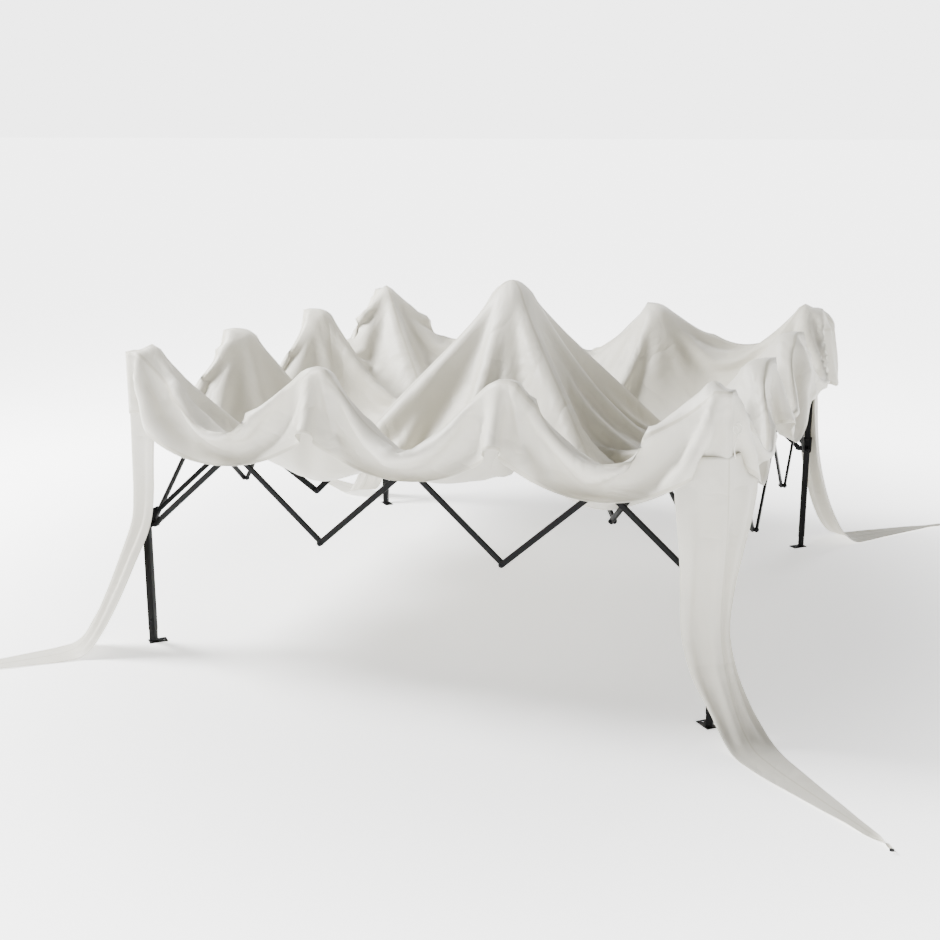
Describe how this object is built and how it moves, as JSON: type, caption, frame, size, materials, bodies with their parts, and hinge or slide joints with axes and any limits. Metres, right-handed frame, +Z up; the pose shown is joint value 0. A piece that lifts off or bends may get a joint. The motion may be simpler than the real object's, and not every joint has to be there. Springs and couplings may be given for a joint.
{
  "type": "pop-up party tent",
  "caption": "Folding pop-up tent, half open: scissor bars on each side, rafters to a centre hub, telescoping legs, a loose cloth canopy and a long cloth tail from each corner.",
  "frame": {"origin": "middle of the bounding box at the height of the soles", "axes": "+Z up, +X along the front from the left corner to the right one, +Y from front to back"},
  "size_m": [3.8226, 3.8226, 1.4779],
  "materials": {
    "black_powder_coat": "satin",
    "black_plastic": "matte",
    "canopy_cloth": "smooth woven",
    "tail_cloth": "smooth woven"
  },
  "bodies": {
    "corner_front_left": {"leg_front_left": "black_powder_coat", "top_bracket_front_left": "black_plastic", "canopy": "canopy_cloth", "tail_front_left": "tail_cloth"},
    "foot_front_left": {"foot_front_left": "black_powder_coat"},
    "slider_front_left": {"slider_front_left": "black_plastic"},
    "rafter_outer_front_left": {"rafter_outer_front_left": "black_powder_coat"},
    "rafter_inner_front_left": {"rafter_inner_front_left": "black_powder_coat"},
    "rafter_strut_front_left": {"rafter_strut_front_left": "black_powder_coat"},
    "corner_front_right": {"leg_front_right": "black_powder_coat", "top_bracket_front_right": "black_plastic", "tail_front_right": "tail_cloth"},
    "foot_front_right": {"foot_front_right": "black_powder_coat"},
    "slider_front_right": {"slider_front_right": "black_plastic"},
    "rafter_outer_front_right": {"rafter_outer_front_right": "black_powder_coat"},
    "rafter_inner_front_right": {"rafter_inner_front_right": "black_powder_coat"},
    "rafter_strut_front_right": {"rafter_strut_front_right": "black_powder_coat"},
    "corner_back_right": {"leg_back_right": "black_powder_coat", "top_bracket_back_right": "black_plastic", "tail_back_right": "tail_cloth"},
    "foot_back_right": {"foot_back_right": "black_powder_coat"},
    "slider_back_right": {"slider_back_right": "black_plastic"},
    "rafter_outer_back_right": {"rafter_outer_back_right": "black_powder_coat"},
    "rafter_inner_back_right": {"rafter_inner_back_right": "black_powder_coat"},
    "rafter_strut_back_right": {"rafter_strut_back_right": "black_powder_coat"},
    "corner_back_left": {"leg_back_left": "black_powder_coat", "top_bracket_back_left": "black_plastic", "tail_back_left": "tail_cloth"},
    "foot_back_left": {"foot_back_left": "black_powder_coat"},
    "slider_back_left": {"slider_back_left": "black_plastic"},
    "rafter_outer_back_left": {"rafter_outer_back_left": "black_powder_coat"},
    "rafter_inner_back_left": {"rafter_inner_back_left": "black_powder_coat"},
    "rafter_strut_back_left": {"rafter_strut_back_left": "black_powder_coat"},
    "hub": {"hub": "black_plastic"},
    "front_bar_down_1": {"front_bar_down_1": "black_powder_coat"},
    "front_bar_up_1": {"front_bar_up_1": "black_powder_coat"},
    "front_bar_down_2": {"front_bar_down_2": "black_powder_coat"},
    "front_bar_up_2": {"front_bar_up_2": "black_powder_coat"},
    "front_bar_down_3": {"front_bar_down_3": "black_powder_coat"},
    "front_bar_up_3": {"front_bar_up_3": "black_powder_coat"},
    "right_bar_down_1": {"right_bar_down_1": "black_powder_coat"},
    "right_bar_up_1": {"right_bar_up_1": "black_powder_coat"},
    "right_bar_down_2": {"right_bar_down_2": "black_powder_coat"},
    "right_bar_up_2": {"right_bar_up_2": "black_powder_coat"},
    "right_bar_down_3": {"right_bar_down_3": "black_powder_coat"},
    "right_bar_up_3": {"right_bar_up_3": "black_powder_coat"},
    "back_bar_down_1": {"back_bar_down_1": "black_powder_coat"},
    "back_bar_up_1": {"back_bar_up_1": "black_powder_coat"},
    "back_bar_down_2": {"back_bar_down_2": "black_powder_coat"},
    "back_bar_up_2": {"back_bar_up_2": "black_powder_coat"},
    "back_bar_down_3": {"back_bar_down_3": "black_powder_coat"},
    "back_bar_up_3": {"back_bar_up_3": "black_powder_coat"},
    "left_bar_down_1": {"left_bar_down_1": "black_powder_coat"},
    "left_bar_up_1": {"left_bar_up_1": "black_powder_coat"},
    "left_bar_down_2": {"left_bar_down_2": "black_powder_coat"},
    "left_bar_up_2": {"left_bar_up_2": "black_powder_coat"},
    "left_bar_down_3": {"left_bar_down_3": "black_powder_coat"},
    "left_bar_up_3": {"left_bar_up_3": "black_powder_coat"}
  },
  "joints": [
    {"name": "front_down_1_turn", "type": "hinge", "parent": "corner_front_left", "child": "front_bar_down_1", "pos_m": [-1.155, -1.2, 1.21224], "axis": [0, 1, 0], "range_deg": [-22.15, 45.7], "deforming": ["canopy"]},
    {"name": "front_up_1_turn", "type": "hinge", "parent": "front_bar_down_1", "child": "front_bar_up_1", "pos_m": [-0.77, -1.2, 0.87162], "axis": [0, 1, 0], "range_deg": [-91.4, 44.3]},
    {"name": "front_down_2_turn", "type": "hinge", "parent": "front_bar_up_1", "child": "front_bar_down_2", "pos_m": [-0.385, -1.2, 1.21224], "axis": [0, 1, 0], "range_deg": [-44.3, 91.4]},
    {"name": "front_up_3_turn", "type": "hinge", "parent": "corner_front_right", "child": "front_bar_up_3", "pos_m": [1.155, -1.2, 1.21224], "axis": [0, 1, 0], "range_deg": [-45.7, 22.15]},
    {"name": "front_down_3_turn", "type": "hinge", "parent": "front_bar_up_3", "child": "front_bar_down_3", "pos_m": [0.77, -1.2, 0.87162], "axis": [0, 1, 0], "range_deg": [-44.3, 91.4]},
    {"name": "front_up_2_turn", "type": "hinge", "parent": "front_bar_down_3", "child": "front_bar_up_2", "pos_m": [0.385, -1.2, 1.21224], "axis": [0, 1, 0], "range_deg": [-91.4, 44.3]},
    {"name": "right_down_1_turn", "type": "hinge", "parent": "corner_front_right", "child": "right_bar_down_1", "pos_m": [1.2, -1.155, 1.21224], "axis": [-1, 0, 0], "range_deg": [-22.15, 45.7]},
    {"name": "right_up_1_turn", "type": "hinge", "parent": "right_bar_down_1", "child": "right_bar_up_1", "pos_m": [1.2, -0.77, 0.87162], "axis": [-1, 0, 0], "range_deg": [-91.4, 44.3]},
    {"name": "right_down_2_turn", "type": "hinge", "parent": "right_bar_up_1", "child": "right_bar_down_2", "pos_m": [1.2, -0.385, 1.21224], "axis": [-1, 0, 0], "range_deg": [-44.3, 91.4]},
    {"name": "right_up_3_turn", "type": "hinge", "parent": "corner_back_right", "child": "right_bar_up_3", "pos_m": [1.2, 1.155, 1.21224], "axis": [-1, 0, 0], "range_deg": [-45.7, 22.15]},
    {"name": "right_down_3_turn", "type": "hinge", "parent": "right_bar_up_3", "child": "right_bar_down_3", "pos_m": [1.2, 0.77, 0.87162], "axis": [-1, 0, 0], "range_deg": [-44.3, 91.4]},
    {"name": "right_up_2_turn", "type": "hinge", "parent": "right_bar_down_3", "child": "right_bar_up_2", "pos_m": [1.2, 0.385, 1.21224], "axis": [-1, 0, 0], "range_deg": [-91.4, 44.3]},
    {"name": "back_down_1_turn", "type": "hinge", "parent": "corner_back_right", "child": "back_bar_down_1", "pos_m": [1.155, 1.2, 1.21224], "axis": [0, -1, 0], "range_deg": [-22.15, 45.7]},
    {"name": "back_up_1_turn", "type": "hinge", "parent": "back_bar_down_1", "child": "back_bar_up_1", "pos_m": [0.77, 1.2, 0.87162], "axis": [0, -1, 0], "range_deg": [-91.4, 44.3]},
    {"name": "back_down_2_turn", "type": "hinge", "parent": "back_bar_up_1", "child": "back_bar_down_2", "pos_m": [0.385, 1.2, 1.21224], "axis": [0, -1, 0], "range_deg": [-44.3, 91.4]},
    {"name": "back_up_3_turn", "type": "hinge", "parent": "corner_back_left", "child": "back_bar_up_3", "pos_m": [-1.155, 1.2, 1.21224], "axis": [0, -1, 0], "range_deg": [-45.7, 22.15]},
    {"name": "back_down_3_turn", "type": "hinge", "parent": "back_bar_up_3", "child": "back_bar_down_3", "pos_m": [-0.77, 1.2, 0.87162], "axis": [0, -1, 0], "range_deg": [-44.3, 91.4]},
    {"name": "back_up_2_turn", "type": "hinge", "parent": "back_bar_down_3", "child": "back_bar_up_2", "pos_m": [-0.385, 1.2, 1.21224], "axis": [0, -1, 0], "range_deg": [-91.4, 44.3]},
    {"name": "left_down_1_turn", "type": "hinge", "parent": "corner_back_left", "child": "left_bar_down_1", "pos_m": [-1.2, 1.155, 1.21224], "axis": [1, 0, 0], "range_deg": [-22.15, 45.7]},
    {"name": "left_up_1_turn", "type": "hinge", "parent": "left_bar_down_1", "child": "left_bar_up_1", "pos_m": [-1.2, 0.77, 0.87162], "axis": [1, 0, 0], "range_deg": [-91.4, 44.3]},
    {"name": "left_down_2_turn", "type": "hinge", "parent": "left_bar_up_1", "child": "left_bar_down_2", "pos_m": [-1.2, 0.385, 1.21224], "axis": [1, 0, 0], "range_deg": [-44.3, 91.4]},
    {"name": "left_up_3_turn", "type": "hinge", "parent": "corner_front_left", "child": "left_bar_up_3", "pos_m": [-1.2, -1.155, 1.21224], "axis": [1, 0, 0], "range_deg": [-45.7, 22.15]},
    {"name": "left_down_3_turn", "type": "hinge", "parent": "left_bar_up_3", "child": "left_bar_down_3", "pos_m": [-1.2, -0.77, 0.87162], "axis": [1, 0, 0], "range_deg": [-44.3, 91.4]},
    {"name": "left_up_2_turn", "type": "hinge", "parent": "left_bar_down_3", "child": "left_bar_up_2", "pos_m": [-1.2, -0.385, 1.21224], "axis": [1, 0, 0], "range_deg": [-91.4, 44.3]},
    {"name": "slider_front_left_turn", "type": "hinge", "parent": "front_bar_up_1", "child": "slider_front_left", "pos_m": [-1.155, -1.2, 0.531], "axis": [0, 1, 0], "range_deg": [-22.15, 45.7]},
    {"name": "slider_front_right_turn", "type": "hinge", "parent": "right_bar_up_1", "child": "slider_front_right", "pos_m": [1.2, -1.155, 0.531], "axis": [-1, 0, 0], "range_deg": [-22.15, 45.7]},
    {"name": "slider_back_right_turn", "type": "hinge", "parent": "back_bar_up_1", "child": "slider_back_right", "pos_m": [1.155, 1.2, 0.531], "axis": [0, -1, 0], "range_deg": [-22.15, 45.7]},
    {"name": "slider_back_left_turn", "type": "hinge", "parent": "left_bar_up_1", "child": "slider_back_left", "pos_m": [-1.2, 1.155, 0.531], "axis": [1, 0, 0], "range_deg": [-22.15, 45.7]},
    {"name": "rafter_outer_front_left_turn", "type": "hinge", "parent": "corner_front_left", "child": "rafter_outer_front_left", "pos_m": [-1.1604, -1.1604, 1.22884], "axis": [-0.7071, 0.7071, 0], "range_deg": [-22.08, 45.55]},
    {"name": "rafter_inner_front_left_turn", "type": "hinge", "parent": "rafter_outer_front_left", "child": "rafter_inner_front_left", "pos_m": [-0.67362, -0.67362, 0.58984], "axis": [-0.7071, 0.7071, 0], "range_deg": [-92.48, 44.82]},
    {"name": "hub_turn", "type": "hinge", "parent": "rafter_inner_front_left", "child": "hub", "pos_m": [-0.03182, -0.03182, 1.37794], "axis": [-0.7071, 0.7071, 0], "range_deg": [-22.74, 46.93]},
    {"name": "rafter_inner_front_right_turn", "type": "hinge", "parent": "hub", "child": "rafter_inner_front_right", "pos_m": [0.03182, -0.03182, 1.37794], "axis": [-0.7071, -0.7071, 0], "range_deg": [-46.93, 22.74]},
    {"name": "rafter_outer_front_right_turn", "type": "hinge", "parent": "rafter_inner_front_right", "child": "rafter_outer_front_right", "pos_m": [0.67362, -0.67362, 0.58984], "axis": [-0.7071, -0.7071, 0], "range_deg": [-44.82, 92.48]},
    {"name": "corner_front_right_turn", "type": "hinge", "parent": "rafter_outer_front_right", "child": "corner_front_right", "pos_m": [1.1604, -1.1604, 1.22884], "axis": [-0.7071, -0.7071, 0], "range_deg": [-45.55, 22.08]},
    {"name": "rafter_inner_back_right_turn", "type": "hinge", "parent": "hub", "child": "rafter_inner_back_right", "pos_m": [0.03182, 0.03182, 1.37794], "axis": [0.7071, -0.7071, 0], "range_deg": [-46.93, 22.74]},
    {"name": "rafter_outer_back_right_turn", "type": "hinge", "parent": "rafter_inner_back_right", "child": "rafter_outer_back_right", "pos_m": [0.67362, 0.67362, 0.58984], "axis": [0.7071, -0.7071, 0], "range_deg": [-44.82, 92.48]},
    {"name": "corner_back_right_turn", "type": "hinge", "parent": "rafter_outer_back_right", "child": "corner_back_right", "pos_m": [1.1604, 1.1604, 1.22884], "axis": [0.7071, -0.7071, 0], "range_deg": [-45.55, 22.08]},
    {"name": "rafter_inner_back_left_turn", "type": "hinge", "parent": "hub", "child": "rafter_inner_back_left", "pos_m": [-0.03182, 0.03182, 1.37794], "axis": [0.7071, 0.7071, 0], "range_deg": [-46.93, 22.74]},
    {"name": "rafter_outer_back_left_turn", "type": "hinge", "parent": "rafter_inner_back_left", "child": "rafter_outer_back_left", "pos_m": [-0.67362, 0.67362, 0.58984], "axis": [0.7071, 0.7071, 0], "range_deg": [-44.82, 92.48]},
    {"name": "corner_back_left_turn", "type": "hinge", "parent": "rafter_outer_back_left", "child": "corner_back_left", "pos_m": [-1.1604, 1.1604, 1.22884], "axis": [0.7071, 0.7071, 0], "range_deg": [-45.55, 22.08]},
    {"name": "rafter_strut_front_left_turn", "type": "hinge", "parent": "slider_front_left", "child": "rafter_strut_front_left", "pos_m": [-1.16464, -1.16464, 0.5822], "axis": [-0.7071, 0.7071, 0], "range_deg": [-49, 23.75]},
    {"name": "rafter_strut_front_right_turn", "type": "hinge", "parent": "slider_front_right", "child": "rafter_strut_front_right", "pos_m": [1.16464, -1.16464, 0.5822], "axis": [-0.7071, -0.7071, 0], "range_deg": [-49, 23.75]},
    {"name": "rafter_strut_back_right_turn", "type": "hinge", "parent": "slider_back_right", "child": "rafter_strut_back_right", "pos_m": [1.16464, 1.16464, 0.5822], "axis": [0.7071, -0.7071, 0], "range_deg": [-49, 23.75]},
    {"name": "rafter_strut_back_left_turn", "type": "hinge", "parent": "slider_back_left", "child": "rafter_strut_back_left", "pos_m": [-1.16464, 1.16464, 0.5822], "axis": [0.7071, 0.7071, 0], "range_deg": [-49, 23.75]},
    {"name": "foot_front_left_slide", "type": "slide", "parent": "corner_front_left", "child": "foot_front_left", "axis": [0, 0, -1], "range_m": [0, 0.75]},
    {"name": "foot_front_right_slide", "type": "slide", "parent": "corner_front_right", "child": "foot_front_right", "axis": [0, 0, -1], "range_m": [0, 0.75]},
    {"name": "foot_back_right_slide", "type": "slide", "parent": "corner_back_right", "child": "foot_back_right", "axis": [0, 0, -1], "range_m": [0, 0.75]},
    {"name": "foot_back_left_slide", "type": "slide", "parent": "corner_back_left", "child": "foot_back_left", "axis": [0, 0, -1], "range_m": [0, 0.75]}
  ],
  "couplings": [
    {"joint": "front_up_1_turn", "follows": "front_down_1_turn", "ratio": -2},
    {"joint": "front_down_2_turn", "follows": "front_down_1_turn", "ratio": 2},
    {"joint": "front_up_3_turn", "follows": "front_down_1_turn", "ratio": -1},
    {"joint": "front_down_3_turn", "follows": "front_down_1_turn", "ratio": 2},
    {"joint": "front_up_2_turn", "follows": "front_down_1_turn", "ratio": -2},
    {"joint": "right_down_1_turn", "follows": "front_down_1_turn", "ratio": 1},
    {"joint": "right_up_1_turn", "follows": "front_down_1_turn", "ratio": -2},
    {"joint": "right_down_2_turn", "follows": "front_down_1_turn", "ratio": 2},
    {"joint": "right_up_3_turn", "follows": "front_down_1_turn", "ratio": -1},
    {"joint": "right_down_3_turn", "follows": "front_down_1_turn", "ratio": 2},
    {"joint": "right_up_2_turn", "follows": "front_down_1_turn", "ratio": -2},
    {"joint": "back_down_1_turn", "follows": "front_down_1_turn", "ratio": 1},
    {"joint": "back_up_1_turn", "follows": "front_down_1_turn", "ratio": -2},
    {"joint": "back_down_2_turn", "follows": "front_down_1_turn", "ratio": 2},
    {"joint": "back_up_3_turn", "follows": "front_down_1_turn", "ratio": -1},
    {"joint": "back_down_3_turn", "follows": "front_down_1_turn", "ratio": 2},
    {"joint": "back_up_2_turn", "follows": "front_down_1_turn", "ratio": -2},
    {"joint": "left_down_1_turn", "follows": "front_down_1_turn", "ratio": 1},
    {"joint": "left_up_1_turn", "follows": "front_down_1_turn", "ratio": -2},
    {"joint": "left_down_2_turn", "follows": "front_down_1_turn", "ratio": 2},
    {"joint": "left_up_3_turn", "follows": "front_down_1_turn", "ratio": -1},
    {"joint": "left_down_3_turn", "follows": "front_down_1_turn", "ratio": 2},
    {"joint": "left_up_2_turn", "follows": "front_down_1_turn", "ratio": -2},
    {"joint": "slider_front_left_turn", "follows": "front_down_1_turn", "ratio": 1},
    {"joint": "slider_front_right_turn", "follows": "front_down_1_turn", "ratio": 1},
    {"joint": "slider_back_right_turn", "follows": "front_down_1_turn", "ratio": 1},
    {"joint": "slider_back_left_turn", "follows": "front_down_1_turn", "ratio": 1},
    {"joint": "rafter_outer_front_left_turn", "follows": "front_down_1_turn", "ratio": 0.9968},
    {"joint": "rafter_inner_front_left_turn", "follows": "front_down_1_turn", "ratio": -2.0236},
    {"joint": "hub_turn", "follows": "front_down_1_turn", "ratio": 1.0268},
    {"joint": "rafter_inner_front_right_turn", "follows": "front_down_1_turn", "ratio": -1.0268},
    {"joint": "rafter_outer_front_right_turn", "follows": "front_down_1_turn", "ratio": 2.0236},
    {"joint": "corner_front_right_turn", "follows": "front_down_1_turn", "ratio": -0.9968},
    {"joint": "rafter_inner_back_right_turn", "follows": "front_down_1_turn", "ratio": -1.0268},
    {"joint": "rafter_outer_back_right_turn", "follows": "front_down_1_turn", "ratio": 2.0236},
    {"joint": "corner_back_right_turn", "follows": "front_down_1_turn", "ratio": -0.9968},
    {"joint": "rafter_inner_back_left_turn", "follows": "front_down_1_turn", "ratio": -1.0268},
    {"joint": "rafter_outer_back_left_turn", "follows": "front_down_1_turn", "ratio": 2.0236},
    {"joint": "corner_back_left_turn", "follows": "front_down_1_turn", "ratio": -0.9968},
    {"joint": "rafter_strut_front_left_turn", "follows": "front_down_1_turn", "ratio": -1.0721},
    {"joint": "rafter_strut_front_right_turn", "follows": "front_down_1_turn", "ratio": -1.0721},
    {"joint": "rafter_strut_back_right_turn", "follows": "front_down_1_turn", "ratio": -1.0721},
    {"joint": "rafter_strut_back_left_turn", "follows": "front_down_1_turn", "ratio": -1.0721}
  ]
}
